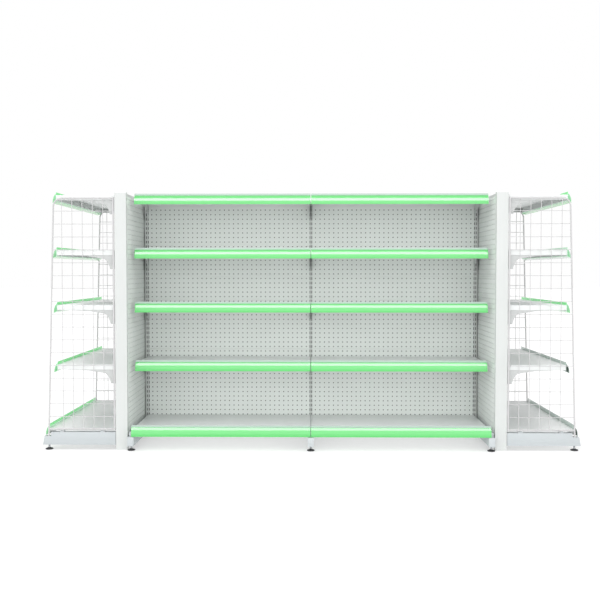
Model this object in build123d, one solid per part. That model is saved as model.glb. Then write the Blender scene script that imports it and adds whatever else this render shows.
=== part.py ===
"""Supermarket gondola run: a double-sided run of two bays with a single-sided end unit at each end.

Millimetres. X runs along the run, -Y is the front, Z is up. The origin is on the floor under the
middle of the run.
"""
from build123d import *
import os

# --- driving dimensions -------------------------------------------------------------------------
BAY = 900.0                 # upright centre to upright centre, everywhere in the run
CENTRE_BAYS = 2
PITCH = 25.0                # slot pitch of the uprights, and hole pitch of the back panels
UPRIGHT_WIDTH = 30.0        # across the slotted face
UPRIGHT_DEPTH = 60.0        # from slotted face to slotted face
UPRIGHT_WALL = 2.0
UPRIGHT_HEIGHT = 1290.0
FIRST_ROW = 33.0            # centre of the lowest row of slots
SLOT_WIDTH = 4.0
SLOT_HEIGHT = 14.0
SLOT_OFFSET = 5.0           # slot column from the upright's centre line
SLOT_TOP_MARGIN = 20.0      # upright left solid above the highest slots
CAP_THICKNESS = 4.0
CAP_PLUG = 15.0

# Each shelf's top hook, in rows of slots below the top row.
ROWS_BELOW_TOP = {"lower": 34, "middle": 22, "upper": 11, "top": 0}
SHELF_ABOVE_ROW = 20.0      # shelf surface above the row of its top hook
BASE_SURFACE = 106.0        # surface of the base shelf above the floor
CENTRE_DEPTH = 335.0        # upright face to front edge, upper shelves of the double-sided run
CENTRE_BASE_DEPTH = 444.0
END_DEPTH = 295.0           # the same on the end units
END_BASE_DEPTH = 340.0

SHEET = 1.0                 # shelf sheet
SHELF_SKIRT = 25.0          # folded edge of an upper shelf
BASE_SKIRT = 11.5           # folded edge of a base shelf
FRONT_FOLD = 28.0           # folded front edge of every shelf
FRONT_LIP = 10.0            # return of the front fold, under the shelf
RIB_WIDTH = 50.0            # stiffener welded under a shelf
RIB_HEIGHT = 9.0
BRACKET_HEIGHT = 95.0       # at the upright
BRACKET_THICKNESS = 2.0
BRACKET_HOOKS = 3
HOOK_NOSE = 3.5             # thickness of a hook's nose, behind the upright's wall
# Points of a bracket's lower edge: out from the upright, up from the bracket's foot.
BRACKET_CURVE = ((27.0, 0.0), (33.0, 22.0), (41.0, 38.0))
BRACKET_TAPER = ((54.0, 51.0), (141.0, 65.0))
HOLDER_RISE = 6.0           # a base shelf's price holder sits this much higher than the others
# Outlines of the price holder and of the strip's two faces: beyond the shelf's edge, above its surface.
HOLDER_OUTLINE = ((0, 14.5), (1.4, 14.5), (1.4, 5.6), (6.0, 5.6), (6.0, 4.4), (1.4, 4.4), (1.4, -31.0),
                  (17.2, -38.7), (17.2, -36.8), (18.4, -36.8), (18.4, -40.6), (0, -32.2))
STRIP_OUTER = ((4.6, 4.2), (14.6, -15.8), (16.9, -38.1))
STRIP_INNER = ((15.6, -37.5), (13.2, -15.4), (3.0, 4.2))

LEG_WIDTH = 30.0
LEG_WALL = 2.0
LEG_BOTTOM = 25.0
LEG_BELOW_BASE = 5.5        # leg top below the base shelf's folded edge
LEG_NOSE = 28.0             # leg toe in front of the base shelf's front edge
FOOT_SETBACK = 28.0         # foot axis behind the leg's toe
PAD_DIAMETER = 38.0
PAD_HEIGHT = 10.0
PAD_RIM = 5.0               # height of the pad's upright rim
PAD_EDGE = 1.0              # chamfer under the rim
PAD_NECK = 2.0              # wall of the pad about the stud
STUD_DIAMETER = 10.0
FOOT_RISE = 8.0             # a foot screws in this far
NUT_WALL = 4.5              # nut's corner beyond its bore
NUT_HEIGHT = 8.0
NUT_PLATE = (40.0, 3.0)     # length along the leg and thickness
NUT_PLATE_RISE = 12.0       # above the leg's lower edge
REST_LENGTH = 20.0          # lug on a leg that carries a base shelf
REST_SHARES = (0.2, 0.8)    # lugs' places along the base shelf's depth
REST_INSET = 5.0            # lug in from the leg's sides
TOE_SLANT = 8.0

PANEL_SHEET = 1.2
PANELS_HIGH = 3
PANEL_FIRST_ROW = 2         # slot row that the lowest hole row lines up with
PANEL_FLANGE = 12.0
CROSSBAR_DEPTH = 30.0
CROSSBAR_HEIGHT = 40.0
CROSSBAR_WALL = 1.5
CROSSBAR_LOW = 30.0         # underside of the lower crossbar

MESH_PLANE = 10.0           # wire mesh outside the end bay's upright centre
MESH_ROD = 8.0
MESH_REAR_ROD = 9.0         # beside the upright
MESH_BOTTOM_ROD = 7.0
MESH_WIRE = 3.0
MESH_BELOW_TOP = 28.0       # mesh below the top of its upright
MESH_BELOW_BASE = 2.0       # lowest rod below the base shelf's surface
MESH_BEYOND_SHELF = 10.0    # front rod beyond the upper shelves, at the top
MESH_BEHIND_BASE = 2.0      # front rod behind the base shelf's front edge, at the bottom
MESH_X_PITCH = 51.5
MESH_Z_PITCH = 64.4
MESH_BEND = 42.0
MESH_STUB = 1.0             # rear rod beyond the top and bottom rods
MESH_CLIP = 30.0            # height of a clip that holds the mesh to the upright
MESH_CLIP_INSET = 90.0      # clip from the top and bottom rods

UNIT_GAP = 5.0              # between the double-sided run's last upright and the end unit's uprights
JOIN_PLATE = (40.0, 60.0)   # width and height of a plate that joins an end unit to the run
JOIN_LOW = 300.0            # lower joining plates above the floor
JOIN_BELOW_TOP = 140.0      # upper joining plates below the top of the uprights

# --- clearances ---------------------------------------------------------------------------------
GAP = 0.3                   # between pieces that lift off and what they rest on
SIDE_GAP = 1.5              # shelf end from the bay's end
BACK_GAP = 3.0              # shelf back from the upright face
HOOK_LIFT_GAP = 1.0         # hook's neck under the top of its slot, once the nose is free
BRACKET_GAP = 1.5           # between a bracket and the shelf's side skirt
THREAD_GAP = 0.3            # stud in its nut
NOTCH_GAP = 4.0             # leg behind the base shelf's front fold
STEP_GAP = 2.4              # leg under the base shelf's price holder
STUD_GAP = 1.0              # screwed-in stud under the leg's step
MESH_FACE_GAP = 2.0         # mesh in front of the upright face
WIRE_BITE = 0.6             # crossed wires are welded this deep
PANEL_SLOT_GAP = 0.5        # panel edge beside the slots
PANEL_SEAM = 0.5

# --- worked out ---------------------------------------------------------------------------------
FACE = UPRIGHT_DEPTH / 2
RUN_HALF = BAY * CENTRE_BAYS / 2
SHELF_LENGTH = BAY - 2 * SIDE_GAP
BRACKET_X = BAY / 2 - SLOT_OFFSET
PANEL_WIDTH = BAY - 2 * (SLOT_OFFSET + SLOT_WIDTH / 2 + PANEL_SLOT_GAP)
PANEL_BOTTOM = FIRST_ROW + (PANEL_FIRST_ROW - 0.5) * PITCH
TOP_ROW = int((UPRIGHT_HEIGHT - SLOT_TOP_MARGIN - FIRST_ROW) // PITCH)
PANEL_HEIGHT = (TOP_ROW + 1 - PANEL_FIRST_ROW) // PANELS_HIGH * PITCH
CROSSBAR_HIGH = PANEL_BOTTOM + PANELS_HIGH * PANEL_HEIGHT - CROSSBAR_HEIGHT / 2
END_AXIS = RUN_HALF + UPRIGHT_WIDTH / 2 + UNIT_GAP + FACE
HOOK_DROP = SLOT_HEIGHT / 2 - HOOK_LIFT_GAP
LEG_TOP = BASE_SURFACE - BASE_SKIRT - LEG_BELOW_BASE
LEG_STEP = BASE_SURFACE + HOLDER_RISE + min(up for _, up in HOLDER_OUTLINE) - STEP_GAP
STUD_TOP = LEG_STEP - LEG_WALL - FOOT_RISE - STUD_GAP
MESH_TOP = UPRIGHT_HEIGHT - MESH_BELOW_TOP
MESH_LOW = BASE_SURFACE - MESH_BELOW_BASE
MESH_BACK = MESH_REAR_ROD / 2 + MESH_FACE_GAP
MESH_FRONT_TOP = END_DEPTH + MESH_BEYOND_SHELF
MESH_FRONT_LOW = END_BASE_DEPTH - MESH_BEHIND_BASE
MESH_LEVEL_WIRES = int((MESH_TOP - MESH_LOW) / MESH_Z_PITCH - 0.5)
MESH_UPRIGHT_WIRES = int((MESH_FRONT_TOP - MESH_BACK) / MESH_X_PITCH - 0.5)

# A bay's own frame has its middle at the origin, X along the bay and its shelves towards -Y.
BAY_PLACES = {
    "left": Pos(-BAY / 2, 0, 0),
    "right": Pos(BAY / 2, 0, 0),
    "left_end": Pos(-END_AXIS, 0, 0) * Rot(0, 0, -90),
    "right_end": Pos(END_AXIS, 0, 0) * Rot(0, 0, 90),
}
TURNED = Rot(0, 0, 180)


def block(x, y, z):
    """A box from its lowest and highest x, y and z."""
    size = [high - low for low, high in (x, y, z)]
    middle = [(high + low) / 2 for low, high in (x, y, z)]
    return Pos(*middle) * Box(*size)


def prism(outline, x):
    """A closed (y, z) outline, drawn as edges in the XY plane, extruded over the span x."""
    return Pos(x[0], 0, 0) * extrude(Plane.YZ * make_face(outline), x[1] - x[0])


def polygon(points):
    return Polyline(*points, close=True)


def join(pieces):
    """One solid from pieces that share faces or volume."""
    first, *others = pieces
    return first.fuse(*others) if others else first


def row_height(row):
    return FIRST_ROW + row * PITCH


# --- uprights, caps, crossbars and back panels --------------------------------------------------
def upright():
    """Slotted tube, centred on the origin, with its two slotted faces towards -Y and +Y."""
    inner = (UPRIGHT_WIDTH - 2 * UPRIGHT_WALL, UPRIGHT_DEPTH - 2 * UPRIGHT_WALL)
    section = Rectangle(UPRIGHT_WIDTH, UPRIGHT_DEPTH) - Rectangle(*inner)
    tube = extrude(section, UPRIGHT_HEIGHT)
    slots = [
        Pos(side * SLOT_OFFSET, 0, row_height(row)) * Box(SLOT_WIDTH, UPRIGHT_DEPTH + 2, SLOT_HEIGHT)
        for row in range(TOP_ROW + 1)
        for side in (-1, 1)
    ]
    return tube.cut(*slots)


def upright_cap():
    """Plastic cap on top of an upright, with a plug inside the tube."""
    inside = 2 * (UPRIGHT_WALL + GAP)
    plate = Pos(0, 0, UPRIGHT_HEIGHT + CAP_THICKNESS / 2) * Box(UPRIGHT_WIDTH, UPRIGHT_DEPTH, CAP_THICKNESS)
    plug = Box(UPRIGHT_WIDTH - inside, UPRIGHT_DEPTH - inside, CAP_PLUG)
    return join([plate, Pos(0, 0, UPRIGHT_HEIGHT - CAP_PLUG / 2) * plug])


def crossbar(underside):
    """Rectangular tube between two uprights of a bay."""
    outer = Rectangle(CROSSBAR_DEPTH, CROSSBAR_HEIGHT)
    inner = Rectangle(CROSSBAR_DEPTH - 2 * CROSSBAR_WALL, CROSSBAR_HEIGHT - 2 * CROSSBAR_WALL)
    length = BAY - UPRIGHT_WIDTH
    tube = extrude(Plane.YZ * (outer - inner), length)
    return Pos(-length / 2, 0, underside + CROSSBAR_HEIGHT / 2) * tube


def back_panel(course):
    """One sheet panel on the -Y face of a bay's uprights, folded back at its top and bottom."""
    low = PANEL_BOTTOM + course * PANEL_HEIGHT + PANEL_SEAM / 2
    high = low + PANEL_HEIGHT - PANEL_SEAM
    half = PANEL_WIDTH / 2
    fold = (BAY - UPRIGHT_WIDTH) / 2 - BRACKET_GAP
    sheet = block((-half, half), (-FACE - PANEL_SHEET, -FACE), (low, high))
    back = (-FACE - PANEL_SHEET / 2, -FACE + PANEL_FLANGE)
    top = block((-fold, fold), back, (high - PANEL_SHEET, high))
    bottom = block((-fold, fold), back, (low, low + PANEL_SHEET))
    return join([sheet, top, bottom])


# --- shelves ------------------------------------------------------------------------------------
def hook(row_z, rear_of_plate):
    """(y, z) outline of one hook: a neck through the slot and a nose behind the upright's wall."""
    neck_low = row_z - SLOT_HEIGHT / 2 + GAP
    neck_high = row_z + GAP
    behind = UPRIGHT_WALL + GAP
    nose = behind + HOOK_NOSE
    return polygon([
        (rear_of_plate, neck_low),
        (behind, neck_low),
        (behind, neck_low - HOOK_DROP),
        (nose, neck_low - HOOK_DROP),
        (nose, neck_high),
        (rear_of_plate, neck_high),
    ])


def bracket(depth):
    """Side plate of a shelf: deep at the upright, a hollow curve, then a long taper to the front."""
    front = -(depth - 3 * SHEET)
    top = -SHEET
    foot = -BRACKET_HEIGHT
    curve = [(-out, foot + up) for out, up in BRACKET_CURVE]
    taper = [(-out, foot + up) for out, up in BRACKET_TAPER]
    outline = [
        ThreePointArc(*curve),
        Polyline(curve[-1], *taper, (front, -SHELF_SKIRT + SHEET), (front, top), (-GAP, top), (-GAP, foot),
                 curve[0]),
    ]
    x = (-BRACKET_THICKNESS / 2, BRACKET_THICKNESS / 2)
    plate = prism(outline, x)
    first = -SHELF_ABOVE_ROW
    hooks = [prism(hook(first - n * PITCH, -2 * GAP), x) for n in range(BRACKET_HOOKS)]
    return join([plate, *hooks])


def tray(depth, skirt):
    """Folded sheet tray, open below. Its surface is at z = 0 and the upright face at y = 0."""
    half = SHELF_LENGTH / 2
    outside = block((-half, half), (-depth, -BACK_GAP), (-skirt, 0))
    inside = block((-half + SHEET, half - SHEET), (-depth + SHEET, -BACK_GAP - SHEET), (-skirt - 1, -SHEET))
    fold = block((-half, half), (-depth, -depth + SHEET), (-FRONT_FOLD, -skirt / 2))
    lip = block((-half, half), (-depth, -depth + FRONT_LIP), (-FRONT_FOLD, -FRONT_FOLD + SHEET))
    body = join([outside - inside, fold])
    clear = BRACKET_THICKNESS / 2 + BRACKET_GAP
    notches = [
        block((x - clear, x + clear), (-BACK_GAP - 2 * SHEET, 0), (-skirt - 1, -SHEET))
        for x in (-BRACKET_X, BRACKET_X)
    ]
    inner_lip = lip - block((-half, -BRACKET_X + clear), (-depth + 2 * SHEET, 0), (-FRONT_FOLD - 1, 0))
    inner_lip = inner_lip - block((BRACKET_X - clear, half), (-depth + 2 * SHEET, 0), (-FRONT_FOLD - 1, 0))
    return join([body.cut(*notches), inner_lip])


def rib(depth):
    """Hat-section stiffener under the middle of a tray."""
    half = BRACKET_X - 2 * BRACKET_GAP - SHEET
    middle = -(depth + BACK_GAP) / 2
    low = -SHEET - RIB_HEIGHT
    outer = block((-half, half), (middle - RIB_WIDTH / 2, middle + RIB_WIDTH / 2), (low, -SHEET))
    inner = block((-half - 1, half + 1), (middle - RIB_WIDTH / 2 + SHEET, middle + RIB_WIDTH / 2 - SHEET),
                  (low + SHEET, -SHEET + 1))
    return outer - inner


def price_holder(depth, rise):
    """Plastic profile along a shelf's front edge: upright lip, catch, back plate and sloping bottom web."""
    outline = polygon([(-depth - out, up + rise) for out, up in HOLDER_OUTLINE])
    return prism(outline, (-SHELF_LENGTH / 2, SHELF_LENGTH / 2))


def price_strip(depth, rise):
    """Convex insert that snaps into the price holder and leans outwards at the bottom."""
    outer = [(-depth - out, up + rise) for out, up in STRIP_OUTER]
    inner = [(-depth - out, up + rise) for out, up in STRIP_INNER]
    outline = [
        ThreePointArc(*outer),
        Line(outer[-1], inner[0]),
        ThreePointArc(*inner),
        Line(inner[-1], outer[0]),
    ]
    return prism(outline, (-SHELF_LENGTH / 2, SHELF_LENGTH / 2))


def shelf(depth):
    """Upper shelf: tray, stiffener, two hook-in brackets, price holder and strip."""
    return [
        tray(depth, SHELF_SKIRT),
        rib(depth),
        Pos(-BRACKET_X, 0, 0) * bracket(depth),
        Pos(BRACKET_X, 0, 0) * bracket(depth),
        price_holder(depth, 0),
        price_strip(depth, 0),
    ]


def base_shelf(depth):
    """Base shelf: tray, stiffener, price holder and strip. It rests on the legs."""
    return [
        tray(depth, BASE_SKIRT),
        rib(depth),
        price_holder(depth, HOLDER_RISE),
        price_strip(depth, HOLDER_RISE),
    ]


# --- legs and feet ------------------------------------------------------------------------------
def leg_outline(depth, inset):
    """(y, z) outline of a leg, drawn in by inset; the front top corner clears the price holder."""
    toe = depth + LEG_NOSE - inset
    step = LEG_STEP - inset
    throat = depth - FRONT_LIP - NOTCH_GAP - inset
    top = LEG_TOP - inset
    bottom = LEG_BOTTOM - inset
    back = -LEG_WALL / 2 - GAP - inset
    return polygon([(back, bottom), (back, top), (-throat, top), (-throat, step), (-toe + TOE_SLANT, step),
                    (-toe, bottom)])


def leg_hooks():
    """Hooks at a leg's rear end, two above each other in each of the upright's slot columns."""
    across = (-BRACKET_THICKNESS / 2, BRACKET_THICKNESS / 2)
    return [
        Pos(side * SLOT_OFFSET, 0, 0) * prism(hook(row_height(row), -2 * LEG_WALL), across)
        for row in (0, 1)
        for side in (-1, 1)
    ]


def leg_nut():
    """Nut on its plate for the levelling foot, about the foot's axis, from the leg's lower edge up."""
    length, thickness = NUT_PLATE
    plate_top = NUT_PLATE_RISE + thickness
    bore = STUD_DIAMETER / 2 + THREAD_GAP
    width = LEG_WIDTH - LEG_WALL
    plate = block((-width / 2, width / 2), (-length / 2, length / 2), (NUT_PLATE_RISE, plate_top))
    nut = Pos(0, 0, plate_top) * extrude(RegularPolygon(bore + NUT_WALL, 6), NUT_HEIGHT)
    return join([plate, nut]) - extrude(Circle(bore), plate_top + NUT_HEIGHT)


def leg(depth):
    """Pressed leg, open below, hooked into the upright, with a nut plate for its levelling foot."""
    half = LEG_WIDTH / 2
    outside = prism(leg_outline(depth, 0), (-half, half))
    inside = prism(leg_outline(depth, LEG_WALL), (-half + LEG_WALL, half - LEG_WALL))
    nut = Pos(0, -foot_distance(depth), LEG_BOTTOM) * leg_nut()
    lug = (-half + REST_INSET, half - REST_INSET)
    lug_top = BASE_SURFACE - BASE_SKIRT - GAP
    lug_reach = REST_LENGTH / 2
    lugs = [
        Pos(0, -depth * share, 0) * block(lug, (-lug_reach, lug_reach), (LEG_TOP - LEG_WALL / 2, lug_top))
        for share in REST_SHARES
    ]
    return join([outside - inside, *leg_hooks(), nut, *lugs])


def foot_distance(depth):
    """Foot axis from the upright face."""
    return depth + LEG_NOSE - FOOT_SETBACK


def foot():
    """Levelling foot on the floor at the origin: moulded pad and threaded stud."""
    radius = PAD_DIAMETER / 2
    neck = STUD_DIAMETER / 2 + PAD_NECK
    outline = make_face(polygon([(0, 0), (radius - PAD_EDGE, 0), (radius, PAD_EDGE), (radius, PAD_RIM),
                                 (neck, PAD_HEIGHT), (0, PAD_HEIGHT)]))
    pad = revolve(Plane.XZ * outline, Axis.Z)
    stud = Pos(0, 0, PAD_HEIGHT) * extrude(Circle(STUD_DIAMETER / 2), STUD_TOP - PAD_HEIGHT)
    return [pad, stud]


# --- wire mesh sides ----------------------------------------------------------------------------
def rod(start, end, diameter):
    """Straight round rod between two points."""
    path = Line(start, end)
    return sweep(Plane(path @ 0, z_dir=path % 0) * Circle(diameter / 2), path)


def mesh_front(z):
    """The front rod's y at a height."""
    share = (MESH_TOP - z) / (MESH_TOP - MESH_LOW)
    return -FACE - MESH_FRONT_TOP - share * (MESH_FRONT_LOW - MESH_FRONT_TOP)


def mesh_side():
    """Wire mesh beside an end unit's shelves, in a bay's frame, outside its +X upright."""
    back = -FACE - MESH_BACK
    rod_end = LEG_STEP + GAP
    path = FilletPolyline((0, back, MESH_TOP), (0, mesh_front(MESH_TOP), MESH_TOP),
                          (0, mesh_front(rod_end), rod_end), radius=MESH_BEND)
    bent = sweep(Plane(path @ 0, z_dir=path % 0) * Circle(MESH_ROD / 2), path)
    bottom = rod((0, back, MESH_LOW), (0, mesh_front(MESH_LOW), MESH_LOW), MESH_BOTTOM_ROD)
    stub = MESH_ROD / 2 + MESH_STUB
    rear = rod((0, back, MESH_LOW - stub), (0, back, MESH_TOP + stub), MESH_REAR_ROD)
    level = []
    for n in range(MESH_LEVEL_WIRES):
        z = MESH_TOP - (n + 1) * MESH_Z_PITCH
        level.append(rod((0, back, z), (0, mesh_front(z), z), MESH_WIRE))
    outer = MESH_WIRE - WIRE_BITE
    upright_wires = []
    for n in range(MESH_UPRIGHT_WIRES):
        y = back - (n + 1) * MESH_X_PITCH
        end = LEG_TOP if n in (0, MESH_UPRIGHT_WIRES - 1) else MESH_LOW
        upright_wires.append(rod((outer, y, end), (outer, y, MESH_TOP), MESH_WIRE))
    clip = (-MESH_ROD / 4, MESH_ROD / 4)
    clips = [
        block(clip, (back, -FACE), (z - MESH_CLIP / 2, z + MESH_CLIP / 2))
        for z in (MESH_LOW + MESH_CLIP_INSET, MESH_TOP - MESH_CLIP_INSET)
    ]
    return Pos(BAY / 2 + MESH_PLANE, 0, 0) * join([bent, bottom, rear, *level, *upright_wires, *clips])


# --- assembly -----------------------------------------------------------------------------------
def write(name, solids, place=None):
    """Write one node as a STEP file: one solid, or several that keep their own shapes."""
    place = place or Pos(0, 0, 0)
    moved = [place * solid for solid in solids]
    export_step(moved[0] if len(moved) == 1 else Compound(children=moved), f"parts/{name}.step")


def write_uprights_and_caps():
    post = upright()
    cap = upright_cap()
    places = {
        "upright_left": Pos(-RUN_HALF, 0, 0),
        "upright_middle": Pos(0, 0, 0),
        "upright_right": Pos(RUN_HALF, 0, 0),
    }
    for side, sign in (("left_end", -1), ("right_end", 1)):
        for end, where in (("front", -1), ("rear", 1)):
            places[f"{side}_upright_{end}"] = Pos(sign * END_AXIS, where * BAY / 2, 0) * Rot(0, 0, 90)
    for name, place in places.items():
        write(name, [post], place)
    write("upright_caps", [place * cap for place in places.values()])


def write_panels_and_crossbars():
    panels = [back_panel(course) for course in range(PANELS_HIGH)]
    centre = (BAY_PLACES["left"], BAY_PLACES["right"])
    write("front_back_panels", [place * panel for place in centre for panel in panels])
    write("rear_back_panels", [place * TURNED * panel for place in centre for panel in panels])
    for side in ("left_end", "right_end"):
        both = (BAY_PLACES[side], BAY_PLACES[side] * TURNED)
        write(f"{side}_back_panels", [place * panel for place in both for panel in panels])
    bars = [crossbar(CROSSBAR_LOW), crossbar(CROSSBAR_HIGH)]
    write("crossbars", [place * bar for place in BAY_PLACES.values() for bar in bars])


def shelf_sides():
    """Name, place in the run, upper depth and base depth of each stack of shelves."""
    for side in ("left", "right"):
        place = BAY_PLACES[side]
        yield f"front_{side}", place, CENTRE_DEPTH, CENTRE_BASE_DEPTH
        yield f"rear_{side}", place * TURNED, CENTRE_DEPTH, CENTRE_BASE_DEPTH
    for side in ("left_end", "right_end"):
        yield side, BAY_PLACES[side], END_DEPTH, END_BASE_DEPTH


def write_shelves():
    upper = {depth: shelf(depth) for depth in (CENTRE_DEPTH, END_DEPTH)}
    base = {depth: base_shelf(depth) for depth in (CENTRE_BASE_DEPTH, END_BASE_DEPTH)}
    for name, place, depth, base_depth in shelf_sides():
        write(f"{name}_base_shelf", base[base_depth], place * Pos(0, -FACE, BASE_SURFACE))
        for level, below in ROWS_BELOW_TOP.items():
            surface = row_height(TOP_ROW - below) + SHELF_ABOVE_ROW
            write(f"{name}_{level}_shelf", upper[depth], place * Pos(0, -FACE, surface))


def write_legs_and_feet():
    centre_leg = leg(CENTRE_BASE_DEPTH)
    end_leg = leg(END_BASE_DEPTH)
    pad_and_stud = foot()
    centre_legs = []
    for side, turn in (("front", Pos(0, 0, 0)), ("rear", TURNED)):
        for name, x in (("left", -RUN_HALF), ("middle", 0), ("right", RUN_HALF)):
            place = Pos(x, 0, 0) * turn * Pos(0, -FACE, 0)
            centre_legs.append(place * centre_leg)
            write(f"foot_{side}_{name}", pad_and_stud, place * Pos(0, -foot_distance(CENTRE_BASE_DEPTH), 0))
    write("centre_legs", centre_legs)
    end_legs = []
    for side, sign in (("left_end", -1), ("right_end", 1)):
        for end, where in (("front", -1), ("rear", 1)):
            place = BAY_PLACES[side] * Pos(sign * where * BAY / 2, -FACE, 0)
            end_legs.append(place * end_leg)
            write(f"foot_{side}_{end}", pad_and_stud, place * Pos(0, -foot_distance(END_BASE_DEPTH), 0))
    write("end_legs", end_legs)


def write_mesh_sides():
    outer = mesh_side()
    mirrored = mirror(outer, Plane.YZ)
    for side, sign in (("left_end", -1), ("right_end", 1)):
        for end, where in (("front", -1), ("rear", 1)):
            piece = outer if sign * where > 0 else mirrored
            write(f"{side}_mesh_{end}", [piece], BAY_PLACES[side])


def write_joining_plates():
    near = RUN_HALF + UPRIGHT_WIDTH / 2
    far = END_AXIS - FACE - PANEL_SHEET
    width, height = JOIN_PLATE
    plates = []
    for z in (JOIN_LOW, UPRIGHT_HEIGHT - JOIN_BELOW_TOP):
        for x in ((-far, -near), (near, far)):
            plates.append(block(x, (-width / 2, width / 2), (z - height / 2, z + height / 2)))
    write("joining_plates", plates)


os.makedirs("parts", exist_ok=True)
write_uprights_and_caps()
write_panels_and_crossbars()
write_shelves()
write_legs_and_feet()
write_mesh_sides()
write_joining_plates()
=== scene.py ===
"""Visual model of the gondola run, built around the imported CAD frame.

Objects are in metres, in the part's own frame. Shapes are drawn in millimetres and scaled when their mesh is
made. A shelf's own frame has its surface at z = 0, the upright face at y = 0 and the shelf towards -Y.
"""
import math

import bmesh
import bpy
from mathutils import Matrix, Vector


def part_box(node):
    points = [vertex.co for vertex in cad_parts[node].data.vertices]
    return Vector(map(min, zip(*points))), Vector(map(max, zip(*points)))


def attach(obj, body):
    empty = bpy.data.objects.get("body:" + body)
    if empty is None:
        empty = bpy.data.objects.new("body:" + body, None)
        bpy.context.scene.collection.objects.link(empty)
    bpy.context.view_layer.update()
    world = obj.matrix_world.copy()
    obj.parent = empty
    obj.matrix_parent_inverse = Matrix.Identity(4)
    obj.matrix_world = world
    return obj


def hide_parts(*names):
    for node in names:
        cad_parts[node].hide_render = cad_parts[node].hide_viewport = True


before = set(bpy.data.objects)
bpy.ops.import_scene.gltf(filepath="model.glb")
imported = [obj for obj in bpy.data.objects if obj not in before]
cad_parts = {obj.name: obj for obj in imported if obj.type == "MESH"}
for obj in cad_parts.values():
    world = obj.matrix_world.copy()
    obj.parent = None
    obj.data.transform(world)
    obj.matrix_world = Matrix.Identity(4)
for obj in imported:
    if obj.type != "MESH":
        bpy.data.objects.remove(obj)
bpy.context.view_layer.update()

MM = 0.001
LEVELS = ("base", "lower", "middle", "upper", "top")

# Sheet of the shelves
SHEET = 1.0
BEND = 1.8                  # bend radius, at the sheet's middle
SHELF_HALF = 448.5
BACK_GAP = 3.0
SKIRT = 25.0
BASE_SKIRT = 11.5
FRONT_FOLD = 28.0
FRONT_LIP = 10.0
RIB_FOOT = 34.0             # rib's middle to the edge of its flanges
RIB_SIDE = 24.5             # rib's middle to its sides
RIB_DEPTH = 8.5
RIB_HALF = 440.0

# Brackets: outlines as in the CAD, out from the upright and up from the bracket's foot
BRACKET_X = 445.0
BRACKET_HEIGHT = 95.0
BRACKET_HALF = 1.0          # half the thickness
BRACKET_CURVE = ((-27, 0), (-33, 22), (-41, 38))
BRACKET_TAPER = ((-54, 51), (-141, 65))
BRACKET_NOSE = 24.0         # height of the front end, below the shelf's surface
BRACKET_BACK = -0.3         # rear edge, short of the upright
BRACKET_TOP = -1.0
BRACKET_ROWS = 3
HOOK_BELOW = 20.0           # top hook's slot below the shelf's surface
HOOK_IN = 2.3               # hook's neck, through the post's wall
HOOK_NOSE = 5.8
HOOK_TOP, HOOK_NECK, HOOK_TIP = 0.3, -6.7, -12.7    # about the slot's middle

# Price holder and strip: out from the shelf's front edge, up from its surface
HOLDER_RISE = 6.0           # a base shelf's holder sits this much higher
HOLDER_REACH = 18.4
HOLDER_LIP = 14.5
CATCH_UNDER = 4.4           # underside of the upper catch
LOWER_CATCH = -31.0
LIP_TOP, LIP_FOOT = 12.8, 0.5    # ends of the coloured part of the lip
HOLDER_OUTLINE = ((0, HOLDER_LIP), (1.4, HOLDER_LIP), (1.4, LIP_TOP), (1.4, 5.6), (6.0, 5.6),
                  (6.0, CATCH_UNDER), (1.4, CATCH_UNDER), (1.4, LOWER_CATCH), (17.2, -38.7),
                  (17.2, -36.8), (HOLDER_REACH, -36.8), (HOLDER_REACH, -40.6), (0, -32.2),
                  (0, LIP_FOOT), (0, LIP_TOP))
STRIP_OUTER = ((4.6, 4.2), (14.6, -15.8), (16.9, -38.1))
STRIP_INNER = ((15.6, -37.5), (13.2, -15.4), (3.0, 4.2))
STRIP_STEPS = 16
STRIP_SHORT = 0.6           # strip's end inside the holder's

# Uprights
PITCH = 25.0
FIRST_ROW = 33.0
SLOT = (4.0, 14.0)
SLOT_OFFSET = 5.0
SLOT_TOP_MARGIN = 20.0
POST_HALF = (15.0, 30.0)
UPRIGHT_WALL = 2.0
CORNER = 3.0
# A dark sheet down each post's middle is painted shade, for the shade inside the tube behind its slots.
SHADE_SHEET_HALF = (12.5, 8.0)
SHADE_SHEET_ENDS = (2.0, 16.0)   # above the post's foot and below its top
CAP_LAYERS = ((0.0, 0.0), (2.6, 0.0), (3.4, 0.3), (3.85, 0.9), (4.0, 1.8))    # height, inset

# Back panels
PANEL_SHEET = 1.2
PANEL_WIDTH = 885.0
PANEL_HEIGHT = 399.5
PANEL_COURSE = 400.0
PANEL_BOTTOM = 70.75
PANEL_SEAM_HALF = 0.25
PANEL_BEND = 2.0            # flat part of the sheet ends this far from its edges
HOLE = 3.0                  # radius
HOLE_SIDES = 12
HOLE_COLUMNS = 35
HOLE_ROWS = 16
FLANGE_HALF = 433.5
FLANGE_REACH = 13.2
SHADE_SKIN = (11.0, 11.6)         # dark skin behind the sheet: painted shade for the cavity behind the holes
PANEL_COURSES = 3

# Levelling feet: (radius, height) up the pad's outside, then the stud
PAD_PROFILE = ((0, 0), (17.2, 0), (18.3, 0.35), (18.9, 1.0), (19.0, 1.7), (19.0, 4.1), (18.8, 4.8),
               (18.1, 5.3), (15.6, 5.9), (12.6, 6.7), (10.2, 7.6), (8.6, 8.7), (7.8, 9.4),
               (7.2, 9.9), (6.6, 10.0), (0, 10.0))
STUD_FOOT = 9.5
STUD_RADIUS = 5.0
THREAD_PITCH = 1.5
THREAD_DEPTH = 0.85


# --- shapes: (vertices, faces) in millimetres ---------------------------------------------------
def combine(*shapes):
    verts, faces = [], []
    for more_verts, more_faces in shapes:
        start = len(verts)
        verts += more_verts
        faces += [[start + i for i in face] for face in more_faces]
    return verts, faces


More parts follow.
